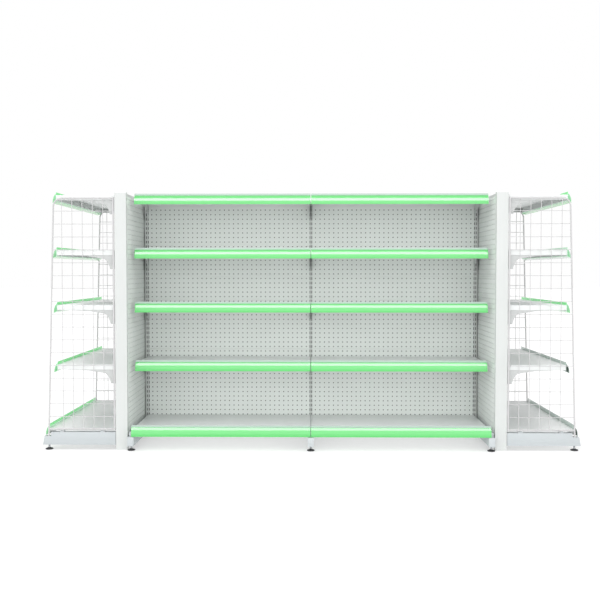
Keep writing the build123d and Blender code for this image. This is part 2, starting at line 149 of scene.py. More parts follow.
def rounded(points, radius, steps=3):
    """A 2-D path whose inner corners are replaced by small curves."""
    out = []
    for i, point in enumerate(points):
        here = Vector(point)
        if i in (0, len(points) - 1):
            out.append(here)
            continue
        before = Vector(points[i - 1]) - here
        after = Vector(points[i + 1]) - here
        back = min(radius / math.tan(before.angle(after) / 2), 0.45 * before.length, 0.45 * after.length)
        start = here + before.normalized() * back
        end = here + after.normalized() * back
        for k in range(steps + 1):
            t = k / steps
            out.append((1 - t) ** 2 * start + 2 * t * (1 - t) * here + t ** 2 * end)
    return out


def arc(a, b, c, steps):
    """Points on the circle through a, b and c, from a to c."""
    a, b, c = Vector(a), Vector(b), Vector(c)
    d = 2 * (a.x * (b.y - c.y) + b.x * (c.y - a.y) + c.x * (a.y - b.y))
    aa, bb, cc = a.length_squared, b.length_squared, c.length_squared
    middle = Vector(((aa * (b.y - c.y) + bb * (c.y - a.y) + cc * (a.y - b.y)) / d,
                     (aa * (c.x - b.x) + bb * (a.x - c.x) + cc * (b.x - a.x)) / d))
    start = math.atan2(a.y - middle.y, a.x - middle.x)
    end = math.atan2(c.y - middle.y, c.x - middle.x)
    turn = (end - start + math.pi) % (2 * math.pi) - math.pi
    radius = (a - middle).length
    angles = [start + turn * k / steps for k in range(steps + 1)]
    return [middle + radius * Vector((math.cos(t), math.sin(t))) for t in angles]


def sheet_outline(path, thickness=SHEET, bend=BEND):
    """Closed outline of folded sheet whose middle follows path."""
    middle = rounded(path, bend)
    one, other = [], []
    for i, p in enumerate(middle):
        along = (middle[min(i + 1, len(middle) - 1)] - middle[max(i - 1, 0)]).normalized()
        side = Vector((-along.y, along.x)) * thickness / 2
        one.append(p + side)
        other.append(p - side)
    return one + other[::-1]


def prism(outline, low, high):
    """A (y, z) outline extruded along x."""
    n = len(outline)
    verts = [(x, p[0], p[1]) for x in (low, high) for p in outline]
    faces = [[i, (i + 1) % n, n + (i + 1) % n, n + i] for i in range(n)]
    return verts, faces + [list(range(n)), list(range(2 * n - 1, n - 1, -1))]


def lathe(profile, sides=48):
    """A closed (radius, z) profile turned about Z; its first and last points are on the axis."""
    ring = profile[1:-1]
    verts = [(0, 0, profile[0][1]), (0, 0, profile[-1][1])]
    for radius, z in ring:
        for k in range(sides):
            t = 2 * math.pi * k / sides
            verts.append((radius * math.cos(t), radius * math.sin(t), z))
    faces = []
    for k in range(sides):
        after = (k + 1) % sides
        faces.append([0, 2 + after, 2 + k])
        top = 2 + (len(ring) - 1) * sides
        faces.append([1, top + k, top + after])
        for j in range(len(ring) - 1):
            low, high = 2 + j * sides, 2 + (j + 1) * sides
            faces.append([low + k, low + after, high + after, high + k])
    return verts, faces


def make_mesh(name, shape, materials, soften=0.0, sharp=32, pick=None):
    """A mesh in metres from a shape, its sharp edges rounded by soften millimetres."""
    verts, faces = shape
    mesh = bpy.data.meshes.new(name)
    mesh.from_pydata([Vector(v) * MM for v in verts], [], faces)
    bm = bmesh.new()
    bm.from_mesh(mesh)
    bmesh.ops.recalc_face_normals(bm, faces=bm.faces[:])
    if soften:
        edges = [e for e in bm.edges if len(e.link_faces) == 2 and e.calc_face_angle() > math.radians(30)]
        bmesh.ops.bevel(bm, geom=edges, offset=soften * MM, segments=2, profile=0.5, affect="EDGES",
                        clamp_overlap=True)
    if pick:
        for face in bm.faces:
            face.material_index = pick(face.calc_center_median() / MM)
    bm.to_mesh(mesh)
    bm.free()
    mesh.shade_smooth()
    mesh.set_sharp_from_angle(angle=math.radians(sharp))
    for material in materials:
        mesh.materials.append(material)
    return mesh


def piece(name, mesh, place, body, slot, *replaced):
    obj = bpy.data.objects.new(name, mesh)
    bpy.context.scene.collection.objects.link(obj)
    obj.matrix_world = place
    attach(obj, body)
    if replaced:
        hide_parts(*replaced)
    return obj


# --- materials ----------------------------------------------------------------------------------
class Nodes:
    """A new material's node tree, with short ways to add to it."""

    def __init__(self, name):
        self.material = bpy.data.materials.new(name)
        self.material.use_nodes = True
        self.tree = self.material.node_tree
        self.shader = self.tree.nodes["Principled BSDF"]
        self.place = self.add("ShaderNodeTexCoord").outputs["Object"]

    def add(self, kind, **inputs):
        node = self.tree.nodes.new(kind)
        for key, value in inputs.items():
            node.inputs[key.replace("_", " ")].default_value = value
        return node

    def link(self, source, target):
        self.tree.links.new(source, target)

    def stretched(self, scale):
        node = self.add("ShaderNodeMapping")
        node.inputs["Scale"].default_value = scale
        self.link(self.place, node.inputs["Vector"])
        return node.outputs["Vector"]

    def noise(self, scale, detail=3.0, vector=None, rough=0.5):
        node = self.add("ShaderNodeTexNoise", Scale=scale, Detail=detail, Roughness=rough)
        self.link(vector or self.place, node.inputs["Vector"])
        return node.outputs["Fac"]

    def spread(self, source, low, high, source_low=0.3, source_high=0.7):
        """source, from source_low to source_high, spread between low and high."""
        node = self.add("ShaderNodeMapRange")
        for key, value in (("From Min", source_low), ("From Max", source_high), ("To Min", low),
                           ("To Max", high)):
            node.inputs[key].default_value = value
        self.link(source, node.inputs["Value"])
        return node.outputs["Result"]

    def mix(self, factor, first, second):
        node = self.add("ShaderNodeMix")
        node.data_type = "RGBA"
        self.link(factor, node.inputs["Factor"])
        for socket, value in ((node.inputs[6], first), (node.inputs[7], second)):
            if isinstance(value, tuple):
                socket.default_value = (*value, 1.0)
            else:
                self.link(value, socket)
        return node.outputs[2]

    def bump(self, height, strength, distance, below=None):
        node = self.add("ShaderNodeBump", Strength=strength, Distance=distance)
        self.link(height, node.inputs["Height"])
        if below:
            self.link(below, node.inputs["Normal"])
        return node.outputs["Normal"]


def shade(colour, share):
    return tuple(c * share for c in colour)


def powder_coat(name, colour, roughness=0.42, peel=1.0):
    """Powder-coated sheet steel: fine orange peel, slow changes of tint and sheen, specks of dust."""
    n = Nodes(name)
    slow = n.noise(3.5, 4.0)
    speck = n.noise(900.0, 2.0)
    tint = n.mix(n.spread(slow, 0.0, 1.0), shade(colour, 0.955), colour)
    dusty = n.mix(n.spread(speck, 0.0, 0.35, 0.62, 0.75), tint, shade(colour, 0.86))
    n.link(dusty, n.shader.inputs["Base Color"])
    n.link(n.spread(n.noise(28.0, 5.0), roughness - 0.06, roughness + 0.08), n.shader.inputs["Roughness"])
    orange_peel = n.bump(n.noise(650.0, 2.0), 0.22 * peel, 0.0004)
    dents = n.bump(n.noise(6.0, 1.0), 0.12 * peel, 0.004, orange_peel)
    n.link(dents, n.shader.inputs["Normal"])
    n.shader.inputs["Coat Weight"].default_value = 0.12
    n.shader.inputs["Coat Roughness"].default_value = 0.25
    return n.material


def extruded_plastic(name, colour, roughness, coat, glow=0.0):
    """Extruded PVC profile: faint draw lines along its length and slow changes of tint.

    glow is painted light: an emission that stands for the light that reaches thin PVC's far side through it.
    """
    n = Nodes(name)
    lines = n.noise(1.0, 2.0, n.stretched((1.2, 900.0, 900.0)))
    slow = n.noise(1.0, 3.0, n.stretched((3.0, 40.0, 40.0)))
    tint = n.mix(n.spread(slow, 0.0, 1.0), shade(colour, 0.94), colour)
    n.link(tint, n.shader.inputs["Base Color"])
    n.link(n.spread(n.noise(1.0, 3.0, n.stretched((9.0, 260.0, 260.0))), roughness * 0.8, roughness * 1.3),
           n.shader.inputs["Roughness"])
    n.link(n.bump(lines, 0.10, 0.0003), n.shader.inputs["Normal"])
    if glow:
        n.shader.inputs["Emission Color"].default_value = (*colour, 1.0)
        n.shader.inputs["Emission Strength"].default_value = glow
    n.shader.inputs["Coat Weight"].default_value = coat
    n.shader.inputs["Coat Roughness"].default_value = 0.08
    return n.material


def moulded_plastic(name, colour, roughness):
    """Moulded plastic with a fine spark-eroded grain and rubbed, dusty patches."""
    n = Nodes(name)
    rubbed = n.noise(45.0, 4.0)
    tint = n.mix(n.spread(rubbed, 0.0, 1.0), colour, tuple(min(1.0, c * 1.25 + 0.012) for c in colour))
    n.link(tint, n.shader.inputs["Base Color"])
    n.link(n.spread(rubbed, roughness - 0.08, roughness + 0.12), n.shader.inputs["Roughness"])
    n.link(n.bump(n.noise(1600.0, 2.0), 0.25, 0.0002), n.shader.inputs["Normal"])
    return n.material


def zinc_plate(name, colour):
    """Zinc-plated steel: clouded sheen and fine turning marks."""
    n = Nodes(name)
    cloud = n.noise(120.0, 4.0)
    tint = n.mix(n.spread(cloud, 0.0, 1.0), shade(colour, 0.82), colour)
    n.link(tint, n.shader.inputs["Base Color"])
    n.link(n.spread(cloud, 0.28, 0.44), n.shader.inputs["Roughness"])
    turning = n.noise(1.0, 2.0, n.stretched((60.0, 60.0, 3000.0)))
    n.link(n.bump(turning, 0.15, 0.0002), n.shader.inputs["Normal"])
    n.shader.inputs["Metallic"].default_value = 0.9
    return n.material


def floor_finish(name, colour, glow):
    """Matt, pale studio floor, lit from below by glow, with a very faint mottle."""
    n = Nodes(name)
    tint = n.mix(n.spread(n.noise(0.8, 4.0), 0.0, 1.0), shade(colour, 0.985), colour)
    n.link(tint, n.shader.inputs["Base Color"])
    n.link(n.spread(n.noise(5.0, 3.0), 0.75, 0.9), n.shader.inputs["Roughness"])
    n.shader.inputs["Emission Color"].default_value = (*colour, 1.0)
    n.shader.inputs["Emission Strength"].default_value = glow
    return n.material


FRAME_WHITE = powder_coat("frame_white_steel", (0.61, 0.63, 0.62), 0.40)
# The legs' white is a darker copy of the frame's white: painted shade.
LEG_WHITE_SHADED = powder_coat("leg_white_steel_painted_shade", (0.49, 0.525, 0.54), 0.40)
SHELF_WHITE = powder_coat("shelf_white_steel", (0.76, 0.78, 0.775), 0.36)
# The brackets' white is a darker copy of the shelves' white: painted shade.
BRACKET_WHITE_SHADED = powder_coat("bracket_white_steel_painted_shade", (0.56, 0.575, 0.57), 0.38)
PANEL_GREY = powder_coat("panel_grey_steel", (0.79, 0.82, 0.80), 0.46)
# The holes' walls are dark grey as painted shade, for the shade inside each hole.
PANEL_HOLE_SHADE = powder_coat("panel_hole_wall_painted_shade", (0.20, 0.21, 0.205), 0.6)
# The wire's white is darkened to a grey: painted shade.
MESH_WHITE_SHADED = powder_coat("mesh_white_wire", (0.55, 0.545, 0.55), 0.40, 0.6)
CAP_WHITE = moulded_plastic("cap_white_plastic", (0.80, 0.81, 0.81), 0.5)
FOOT_BLACK = moulded_plastic("foot_black_plastic", (0.012, 0.012, 0.014), 0.38)
STRIP_GREEN = extruded_plastic("price_strip_green", (0.12, 0.60, 0.16), 0.16, 0.6)
LIP_GREEN = extruded_plastic("price_lip_green", (0.42, 0.57, 0.48), 0.22, 0.4)
STRIP_PALE = extruded_plastic("price_strip_pale", (0.55, 0.66, 0.60), 0.2, 0.4)
# The lip's back and the strip's hollow side glow: painted light for the light that comes through the thin
# PVC.
BACK_GREEN_GLOW = extruded_plastic("price_holder_back_green_painted_glow", (0.16, 0.66, 0.22), 0.25, 0.3, 0.40)
INSIDE_PALE_GLOW = extruded_plastic("price_strip_inside_painted_glow", (0.50, 0.74, 0.56), 0.3, 0.2, 0.30)
HOLDER_CLEAR = extruded_plastic("price_holder_clear", (0.46, 0.50, 0.49), 0.2, 0.4)
# Near-black finish of the dark skin behind the panels and the dark sheet inside the posts: painted shade.
INNER_SHADE = powder_coat("inner_dark_painted_shade", (0.03, 0.031, 0.032), 0.7)
STUD_ZINC = zinc_plate("stud_zinc_steel", (0.62, 0.63, 0.65))
# For each look of a price strip: the lip's front, the strip, the hollow behind it and the lip's back; in the
# green and pale looks the hollow and the lip's back glow with painted light
STRIP_LOOKS = {
    "green": (LIP_GREEN, STRIP_GREEN, INSIDE_PALE_GLOW, BACK_GREEN_GLOW),
    "pale": (STRIP_PALE, STRIP_PALE, INSIDE_PALE_GLOW, INSIDE_PALE_GLOW),
    "clear": (HOLDER_CLEAR, HOLDER_CLEAR, STRIP_PALE, STRIP_PALE),
}


# --- places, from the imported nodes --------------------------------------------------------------
def centre(node):
    low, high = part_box(node)
    return (low + high) / 2


BAY = centre("upright_right").x - centre("upright_middle").x
END = centre("right_end_upright_front").x
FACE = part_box("upright_middle")[1].y
POST_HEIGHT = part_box("upright_middle")[1].z / MM
TURN = Matrix.Rotation(math.pi, 4, "Z")
STACKS = {
    "front_left": Matrix.Translation((-BAY / 2, 0, 0)),
    "front_right": Matrix.Translation((BAY / 2, 0, 0)),
    "rear_left": Matrix.Translation((-BAY / 2, 0, 0)) @ TURN,
    "rear_right": Matrix.Translation((BAY / 2, 0, 0)) @ TURN,
    "left_end": Matrix.Translation((-END, 0, 0)) @ Matrix.Rotation(-math.pi / 2, 4, "Z"),
    "right_end": Matrix.Translation((END, 0, 0)) @ Matrix.Rotation(math.pi / 2, 4, "Z"),
}


def shelf_size(node, place, rise):
    """Surface height and depth of a shelf, in metres, from its box."""
    low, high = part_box(node)
    corners = [place.inverted() @ Vector((x, y, 0)) for x in (low.x, high.x) for y in (low.y, high.y)]
    reach = -min(c.y for c in corners)
    return high.z - (HOLDER_LIP + rise) * MM, round((reach - FACE) / MM - HOLDER_REACH, 1)


# --- shelves ------------------------------------------------------------------------------------
def pan(depth, skirt):
    """Tray folded from one sheet: rounded edges and corners, open below."""
    bm = bmesh.new()
    size = (2 * SHELF_HALF, depth - BACK_GAP, skirt)
    place = Matrix.Translation((0, -(depth + BACK_GAP) / 2, -skirt / 2)) @ Matrix.Diagonal((*size, 1))
    bmesh.ops.create_cube(bm, size=1.0, matrix=place)
    bottom = min(bm.faces, key=lambda f: f.calc_center_median().z)
    bmesh.ops.delete(bm, geom=[bottom], context="FACES_ONLY")
    edges = [e for e in bm.edges if len(e.link_faces) == 2]
    bmesh.ops.bevel(bm, geom=edges, offset=BEND + SHEET / 2, segments=4, profile=0.5, affect="EDGES")
    bmesh.ops.recalc_face_normals(bm, faces=bm.faces[:])
    bmesh.ops.solidify(bm, geom=bm.faces[:], thickness=SHEET)
    bm.verts.index_update()
    shape = [tuple(v.co) for v in bm.verts], [[v.index for v in f.verts] for f in bm.faces]
    bm.free()
    return shape


def front_return(depth, skirt):
    """Folded front edge under a shelf, between its brackets."""
    y = -depth + SHEET / 2
    low = -FRONT_FOLD + SHEET / 2
    path = [(y, -skirt), (y, low), (-depth + FRONT_LIP, low)]
    return prism(sheet_outline(path), -BRACKET_X + 3, BRACKET_X - 3)


def rib(depth):
    """Hat section spot-welded under the tray."""
    middle = -(depth + BACK_GAP) / 2
    low, high = -SHEET - RIB_DEPTH, -SHEET * 1.5
    path = [(middle - RIB_FOOT, high), (middle - RIB_SIDE, high), (middle - RIB_SIDE, low),
            (middle + RIB_SIDE, low), (middle + RIB_SIDE, high), (middle + RIB_FOOT, high)]
    return prism(sheet_outline(path), -RIB_HALF, RIB_HALF)


def bracket(depth):
    """Side plate with three hooks that go through the upright's slots."""
    front = BACK_GAP - depth
    taper = [(y, up - BRACKET_HEIGHT) for y, up in reversed(BRACKET_TAPER)]
    curve = [(y, up - BRACKET_HEIGHT) for y, up in reversed(BRACKET_CURVE)]
    outline = [(front, BRACKET_TOP), (front, -BRACKET_NOSE), *taper]
    outline += arc(*curve, 10)
    outline.append((BRACKET_BACK, -BRACKET_HEIGHT))
    for row in reversed(range(BRACKET_ROWS)):
        z = -HOOK_BELOW - row * PITCH
        outline += [(BRACKET_BACK, z + HOOK_NECK), (HOOK_IN, z + HOOK_NECK), (HOOK_IN, z + HOOK_TIP),
                    (HOOK_NOSE, z + HOOK_TIP), (HOOK_NOSE, z + HOOK_TOP), (BRACKET_BACK, z + HOOK_TOP)]
    outline.append((BRACKET_BACK, BRACKET_TOP))
    return prism(outline, -BRACKET_HALF, BRACKET_HALF)


def holder(depth, rise):
    """The price holder, its long faces cut where the coloured part of the lip ends."""
    corners = [Vector((-depth - out, up + rise)) for out, up in HOLDER_OUTLINE]
    return prism(corners, -SHELF_HALF, SHELF_HALF)


def strip(depth, rise):
    """Convex price strip held in the holder's catches."""
    outer, inner = [[(-depth - out, up + rise) for out, up in face] for face in (STRIP_OUTER, STRIP_INNER)]
    half = SHELF_HALF - STRIP_SHORT
    return prism(arc(*outer, STRIP_STEPS) + arc(*inner, STRIP_STEPS), -half, half)


def is_strip_back(spot):
    """Whether a point, out and up from the shelf's edge, is on the strip's inner face."""
    def distance(face):
        line = arc(*face, STRIP_STEPS)
        return min((spot - (a + b) / 2).length for a, b in zip(line, line[1:]))
    return distance(STRIP_INNER) < distance(STRIP_OUTER)


meshes = {}


def shared(key, make):
    """The mesh made once for all the pieces that are alike."""
    if key not in meshes:
        meshes[key] = make()
    return meshes[key]


def strip_look(stack, level):
    """The right end's lower strips hold clear inserts, and one is pale."""
    if stack == "right_end":
        return {"base": "clear", "lower": "clear", "upper": "pale"}.get(level, "green")
    return "green"


def price_meshes(look, depth, base):
    """Meshes of the price holder and strip of a shelf."""
    rise = HOLDER_RISE if base else 0.0
    lip, finish, inside, back = STRIP_LOOKS[look]

    def holder_part(point):
        """0 the clear rim, 1 the lip's front, 2 the lower catch, 3 the hollow, 4 the lip's back."""
        up, out = point.z - rise, -point.y - depth
        on_back = out < 0.2
        if LIP_FOOT < up < LIP_TOP:
            return 4 if on_back else 1
        if on_back and up > 0:
            return 4
        if LOWER_CATCH < up <= CATCH_UNDER:
            return 3
        return 2 if up <= LOWER_CATCH else 0

    def strip_part(point):
        """0 the strip's front and ends, 1 its back."""
        if abs(point.x) > SHELF_HALF - 1:
            return 0
        return 1 if is_strip_back(Vector((-point.y - depth, point.z - rise))) else 0

    return (
        shared(("holder", look, depth, base), lambda: make_mesh(
            f"holder_{look}_{depth:.0f}", holder(depth, rise), [HOLDER_CLEAR, lip, finish, inside, back],
            pick=holder_part)),
        shared(("strip", look, depth, base), lambda: make_mesh(
            f"strip_{look}_{depth:.0f}", strip(depth, rise), [finish, inside], pick=strip_part)),
    )


def shelf_pieces(stack, level):
    """Tray, rib, brackets, price holder and price strip of one shelf."""
    node = f"{stack}_{level}_shelf"
    place = STACKS[stack]
    base = level == "base"
    surface, depth = shelf_size(node, place, HOLDER_RISE if base else 0.0)
    at = place @ Matrix.Translation((0, -FACE, surface))
    skirt = BASE_SKIRT if base else SKIRT
    key = (depth, base)
    tray = shared(("tray", *key), lambda: make_mesh(
        f"tray_{depth:.0f}", combine(pan(depth, skirt), front_return(depth, skirt)), [SHELF_WHITE]))
    piece(f"{node}_tray", tray, at, node, "shelf_white_steel", node)
    stiffener = shared(("rib", *key), lambda: make_mesh(f"rib_{depth:.0f}", rib(depth), [SHELF_WHITE]))
    piece(f"{node}_rib", stiffener, at, node, "shelf_white_steel")
    if not base:
        plate = shared(("bracket", *key), lambda: make_mesh(
            f"bracket_{depth:.0f}", bracket(depth), [BRACKET_WHITE_SHADED], soften=0.35))
        for side, x in (("left", -BRACKET_X), ("right", BRACKET_X)):
            piece(f"{node}_bracket_{side}", plate, at @ Matrix.Translation((x * MM, 0, 0)), node,
                  "shelf_white_steel")
    look = strip_look(stack, level)
    profile, front = price_meshes(look, depth, base)
    piece(f"{node}_price_holder", profile, at, node, "price_holder_clear")
    slot = "price_strip_green" if look == "green" else "price_holder_clear"
    piece(f"{node}_price_strip", front, at, node, slot)


for stack_name in STACKS:
    for level_name in LEVELS:
        shelf_pieces(stack_name, level_name)


# --- uprights and caps --------------------------------------------------------------------------
def ring(half_x, half_y, corner, steps=4):
    """Points round a tube's section, with one at each side of every slot column."""
    marks = (-half_x + corner, -SLOT_OFFSET - SLOT[0] / 2, -SLOT_OFFSET + SLOT[0] / 2,
             SLOT_OFFSET - SLOT[0] / 2, SLOT_OFFSET + SLOT[0] / 2, half_x - corner)
    points = [(x, -half_y) for x in marks]

    def corner_points(cx, cy, start):
        for k in range(1, steps):
            t = start + math.pi / 2 * k / steps
            yield cx + corner * math.cos(t), cy + corner * math.sin(t)

    points += corner_points(half_x - corner, -half_y + corner, -math.pi / 2)
    points += [(half_x, -half_y + corner), (half_x, half_y - corner)]
    points += corner_points(half_x - corner, half_y - corner, 0)
    points += [(x, half_y) for x in reversed(marks)]
    points += corner_points(-half_x + corner, half_y - corner, math.pi / 2)
    points += [(-half_x, half_y - corner), (-half_x, -half_y + corner)]
    points += corner_points(-half_x + corner, -half_y + corner, math.pi)
    return points


def slotted_post():
    """Tube with two columns of slots in each narrow face and rounded corners."""
    steps = 4
    wide, deep = POST_HALF
    outer = ring(wide, deep, CORNER, steps)
    inner = ring(wide - UPRIGHT_WALL, deep - UPRIGHT_WALL, CORNER - UPRIGHT_WALL, steps)
    n = len(outer)
    rear = 6 + (steps - 1) + 2 + (steps - 1)
    slot_columns = {1, 3, rear + 1, rear + 3}
    heights = [0.0]
    row = FIRST_ROW
    while row < POST_HEIGHT - SLOT_TOP_MARGIN:
        heights += [row - SLOT[1] / 2, row + SLOT[1] / 2]
        row += PITCH
    heights.append(POST_HEIGHT)
    verts = [(x, y, z) for z in heights for loop in (outer, inner) for x, y in loop]
    faces = []

    def vertex(level, side, i):
        return (2 * level + side) * n + i % n

    for level in range(len(heights) - 1):
        for i in range(n):
            corners = [[vertex(level, s, i), vertex(level, s, i + 1), vertex(level + 1, s, i + 1),
                        vertex(level + 1, s, i)] for s in (0, 1)]
            if i in slot_columns and level % 2 == 1:
                out, inn = corners
                faces += [[out[k], out[(k + 1) % 4], inn[(k + 1) % 4], inn[k]] for k in range(4)]
            else:
                faces += [corners[0], corners[1][::-1]]
    for level in (0, len(heights) - 1):
        faces += [[vertex(level, 0, i), vertex(level, 0, i + 1), vertex(level, 1, i + 1), vertex(level, 1, i)]
                  for i in range(n)]
    # The dark sheet down the tube's middle is painted shade, so its slots show dark.
    across, along = SHADE_SHEET_HALF
    low, high = SHADE_SHEET_ENDS[0], POST_HEIGHT - SHADE_SHEET_ENDS[1]
    shade_sheet = prism([(-along, low), (along, low), (along, high), (-along, high)], -across, across)
    return combine((verts, faces), shade_sheet)


def cap():
    """Moulded cap with a rounded top edge, standing on the post's top."""
    verts, faces = [], []
    for height, inset in CAP_LAYERS:
        loop = ring(POST_HALF[0] - inset, POST_HALF[1] - inset, CORNER)
        verts += [(x, y, POST_HEIGHT + height) for x, y in loop]
    n = len(verts) // len(CAP_LAYERS)
    for j in range(len(CAP_LAYERS) - 1):
        low, high = j * n, (j + 1) * n
        faces += [[low + i, low + (i + 1) % n, high + (i + 1) % n, high + i] for i in range(n)]
    return verts, faces + [list(range(n)), list(range(len(verts) - n, len(verts)))]


def in_shade_sheet(point):
    """1 for the dark sheet of painted shade inside a post, 0 for the post."""
    across, along = SHADE_SHEET_HALF
    return 1 if abs(point.y) < along + 0.5 and abs(point.x) < across + 0.3 and point.z > 1 else 0


post_mesh = make_mesh("slotted_post", slotted_post(), [FRAME_WHITE, INNER_SHADE], pick=in_shade_sheet)
cap_mesh = make_mesh("post_cap", cap(), [CAP_WHITE])
for upright in [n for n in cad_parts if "upright_" in n and n != "upright_caps"]:
    turned = Matrix.Rotation(math.pi / 2, 4, "Z") if "end" in upright else Matrix.Identity(4)
    spot = centre(upright)
    stand = Matrix.Translation((spot.x, spot.y, 0)) @ turned
    piece(f"{upright}_post", post_mesh, stand, "frame", "frame_white_steel", upright)
    piece(f"{upright}_cap", cap_mesh, stand, "frame", "cap_white_plastic", "upright_caps")


# --- perforated back panels ---------------------------------------------------------------------
def perforated(columns, rows):
    """Sheet with round holes, between column lines x and row lines z, its front at y = 0."""
    index, verts, faces = {}, [], []

    def vertex(x, y, z):
        key = (round(x, 3), y, round(z, 3))
        if key not in index:
            index[key] = len(verts)
            verts.append((x, y, z))
        return index[key]

    turn = 2 * math.pi / HOLE_SIDES
    angles = [turn * (k + 0.5) for k in range(HOLE_SIDES)]
    spread = PITCH / 2 * math.tan(turn / 2)
    for left, right, x in columns:
        for low, high, z in rows:
            edge = [(right, z + spread), (right, high), (x + spread, high), (x - spread, high), (left, high),
                    (left, z + spread), (left, z - spread), (left, low), (x - spread, low), (x + spread, low),
                    (right, low), (right, z - spread)]
            hole = [(x + HOLE * math.cos(t), z + HOLE * math.sin(t)) for t in angles]
            front_edge, front_hole, back_edge, back_hole = [
                [vertex(px, y, pz) for px, pz in loop]
                for y in (0.0, PANEL_SHEET) for loop in (edge, hole)]
            for k in range(HOLE_SIDES):
                m = (k + 1) % HOLE_SIDES
                faces.append([front_edge[k], front_edge[m], front_hole[m], front_hole[k]])
                faces.append([back_edge[m], back_edge[k], back_hole[k], back_hole[m]])
                faces.append([front_hole[k], front_hole[m], back_hole[m], back_hole[k]])
    return verts, faces


def panel():
    """Perforated panel with bends and flanges at its top and bottom, and plain edges beside the posts."""
    half = PITCH / 2
    inside, outside = HOLE_COLUMNS * half, PANEL_WIDTH / 2
    columns = [(x - half, x + half, x) for x in (half + k * PITCH - inside for k in range(HOLE_COLUMNS))]
    top = PANEL_HEIGHT - PANEL_BEND
    rows = []
    for k in range(HOLE_ROWS):
        z = PITCH * (k + 0.5) - PANEL_SEAM_HALF
        rows.append((PANEL_BEND if k == 0 else z - half, top if k == HOLE_ROWS - 1 else z + half, z))
    shapes = [perforated(columns, rows)]
    for side in (-1, 1):
        x = sorted((side * inside, side * outside))
        shapes.append(prism([(0, PANEL_BEND), (PANEL_SHEET, PANEL_BEND), (PANEL_SHEET, top), (0, top)], *x))
    middle = PANEL_SHEET / 2
    for start, edge in ((PANEL_BEND, middle), (top, PANEL_HEIGHT - middle)):
        turned = [(middle, start), (middle, edge), (PANEL_BEND + middle, edge)]
        shapes.append(prism(sheet_outline(turned, PANEL_SHEET, 1.4), -outside, outside))
        flange = sheet_outline([(PANEL_BEND + middle, edge), (FLANGE_REACH, edge)], PANEL_SHEET)
        shapes.append(prism(flange, -FLANGE_HALF, FLANGE_HALF))
    # The dark skin behind the holes is painted shade for the cavity behind the sheet.
    near, far = SHADE_SKIN
    skin = [(near, PANEL_BEND), (far, PANEL_BEND), (far, top), (near, top)]
    shapes.append(prism(skin, -FLANGE_HALF, FLANGE_HALF))
    return combine(*shapes)


def panel_part(point):
    """0 for the painted sheet, 1 for the dark skin behind it, which is painted shade, 2 for a hole's wall,
    darkened as painted shade.
    """
    near, far = SHADE_SKIN
    if near - 0.1 < point.y < far + 0.1 and PANEL_BEND - 0.1 < point.z < PANEL_HEIGHT - PANEL_BEND + 0.1:
        return 1
    among_holes = abs(point.x) < HOLE_COLUMNS * PITCH / 2 - 0.5 and 3 < point.z < PANEL_HEIGHT - 3
    return 2 if among_holes and abs(point.y - PANEL_SHEET / 2) < 0.2 else 0


panel_mesh = make_mesh("perforated_panel", panel(), [PANEL_GREY, INNER_SHADE, PANEL_HOLE_SHADE], pick=panel_part)
PANEL_SIDES = {
    "front_back_panels": [STACKS["front_left"], STACKS["front_right"]],
    "rear_back_panels": [STACKS["rear_left"], STACKS["rear_right"]],
    "left_end_back_panels": [STACKS["left_end"], STACKS["left_end"] @ TURN],
    "right_end_back_panels": [STACKS["right_end"], STACKS["right_end"] @ TURN],
}
for panel_node, places in PANEL_SIDES.items():
    for side_number, side_place in enumerate(places):
        for course in range(PANEL_COURSES):
            lift = Vector((0, -FACE - PANEL_SHEET * MM, (PANEL_BOTTOM + course * PANEL_COURSE) * MM))
            piece(f"{panel_node[:-1]}_{side_number}_{course}", panel_mesh,
                  side_place @ Matrix.Translation(lift), "frame", "panel_grey_steel", panel_node)


# --- pressed pieces that follow the CAD solids, with rounded edges -------------------------------
def islands(bm):
    """The vertices of each separate solid in a mesh."""
    left = set(bm.verts)
    while left:
        found, queue = set(), [min(left, key=lambda v: v.index)]
        while queue:
            v = queue.pop()
            if v not in found:
                found.add(v)
                queue += [e.other_vert(v) for e in v.link_edges]
        left -= found
        yield sorted(found, key=lambda v: v.index)


def softened_copies(node, label, material, slot, width):
    """One piece for each solid of a CAD node, with its edges rounded."""
    bm = bmesh.new()
    bm.from_mesh(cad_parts[node].data)
    bmesh.ops.remove_doubles(bm, verts=bm.verts[:], dist=1e-5)
    bm.verts.index_update()
    for number, members in enumerate(list(islands(bm))):
        order = {v: i for i, v in enumerate(members)}
        faces = [[order[v] for v in f.verts] for f in bm.faces if f.verts[0] in order]
        mesh = bpy.data.meshes.new(f"{label}_{number}")
        mesh.from_pydata([v.co[:] for v in members], [], faces)
        one = bmesh.new()
        one.from_mesh(mesh)
        bmesh.ops.dissolve_limit(one, angle_limit=math.radians(1), verts=one.verts[:], edges=one.edges[:])
        edges = [e for e in one.edges if len(e.link_faces) == 2 and e.calc_face_angle() > math.radians(40)]
        bmesh.ops.bevel(one, geom=edges, offset=width * MM, segments=2, profile=0.5, affect="EDGES",
                        clamp_overlap=True)
        one.to_mesh(mesh)
        one.free()
        mesh.shade_smooth()
        mesh.set_sharp_from_angle(angle=math.radians(32))
        mesh.materials.append(material)
        piece(f"{label}_{number}", mesh, Matrix.Identity(4), "frame", slot, node)
    bm.free()


softened_copies("centre_legs", "centre_leg", LEG_WHITE_SHADED, "frame_white_steel", 0.5)
softened_copies("end_legs", "end_leg", LEG_WHITE_SHADED, "frame_white_steel", 0.5)
for plain in ("crossbars", "joining_plates"):
    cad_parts[plain].data.materials.clear()
    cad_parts[plain].data.materials.append(FRAME_WHITE)
for mesh_node in [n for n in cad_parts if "_mesh_" in n]:
    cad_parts[mesh_node].data.materials.clear()
    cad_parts[mesh_node].data.materials.append(MESH_WHITE_SHADED)


